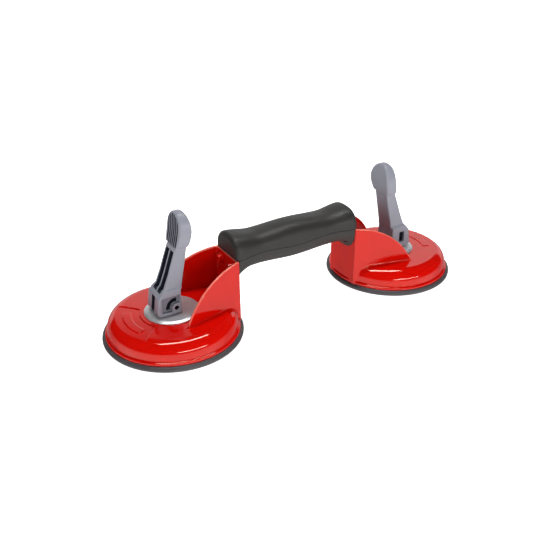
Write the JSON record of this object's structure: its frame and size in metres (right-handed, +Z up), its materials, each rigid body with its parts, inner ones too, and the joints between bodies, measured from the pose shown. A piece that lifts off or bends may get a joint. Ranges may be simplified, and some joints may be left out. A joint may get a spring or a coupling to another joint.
{
  "type": "vacuum suction cup lifter",
  "caption": "Hand-held vacuum lifter: rubber suction cups under red covers, joined by a bridge handle, each pulled up by a folding cam lever.",
  "frame": {"origin": "on the glass, midway between the two cups, under the middle of the handle", "axes": "+X along the handle from the left cup to the right cup, +Z up away from the glass, +Y across the handle"},
  "size_m": [0.3506, 0.12, 0.111],
  "materials": {
    "rubber": "matt black natural rubber, finely grained",
    "red_enamel": "glossy red enamel",
    "lever_plastic": "satin blue-grey moulded plastic",
    "bright_washer": "bright plated, lightly scuffed",
    "plated_steel": "zinc plated steel",
    "bush_plastic": "natural acetal",
    "core_aluminium": "machined aluminium",
    "soft_grip": "satin black soft-touch skin with a fine grain",
    "shell_plastic": "satin black moulded plastic",
    "black_steel": "black oxide",
    "brass": "turned brass"
  },
  "bodies": {
    "root": {"left_rubber_pad": "rubber", "left_guide_bush": "bush_plastic", "left_cover": "red_enamel", "left_pressure_washer": "bright_washer", "left_handle_screws": "red_enamel", "left_screw_washers": "red_enamel", "right_rubber_pad": "rubber", "right_guide_bush": "bush_plastic", "right_cover": "red_enamel", "right_pressure_washer": "bright_washer", "right_handle_screws": "red_enamel", "right_screw_washers": "red_enamel", "handle_core": "core_aluminium", "soft_grip": "soft_grip", "lower_shell": "shell_plastic", "shell_screws": "black_steel", "shell_inserts": "brass"},
    "left_stud": {"left_pull_plate": "plated_steel", "left_pull_stud": "plated_steel"},
    "left_lever_body": {"left_lever": "lever_plastic", "left_lever_pin": "plated_steel"},
    "right_stud": {"right_pull_plate": "plated_steel", "right_pull_stud": "plated_steel"},
    "right_lever_body": {"right_lever": "lever_plastic", "right_lever_pin": "plated_steel"}
  },
  "joints": [
    {"name": "left_stud_lift", "type": "slide", "parent": "root", "child": "left_stud", "axis": [0, 0, 1], "range_m": [0, 0.011], "deforming": ["left_rubber_pad"]},
    {"name": "left_lever_fold", "type": "hinge", "parent": "left_stud", "child": "left_lever_body", "pos_m": [-0.1153, 0, 0.0303], "axis": [0, -1, 0], "range_deg": [0, 98]},
    {"name": "right_stud_lift", "type": "slide", "parent": "root", "child": "right_stud", "axis": [0, 0, 1], "range_m": [0, 0.011], "deforming": ["right_rubber_pad"]},
    {"name": "right_lever_fold", "type": "hinge", "parent": "right_stud", "child": "right_lever_body", "pos_m": [0.1153, 0, 0.0303], "axis": [0, 1, 0], "range_deg": [0, 98]}
  ],
  "couplings": [
    {"joint": "left_stud_lift", "follows": "left_lever_fold", "m_per_rad": 0.0064312},
    {"joint": "right_stud_lift", "follows": "right_lever_fold", "m_per_rad": 0.0064312}
  ]
}
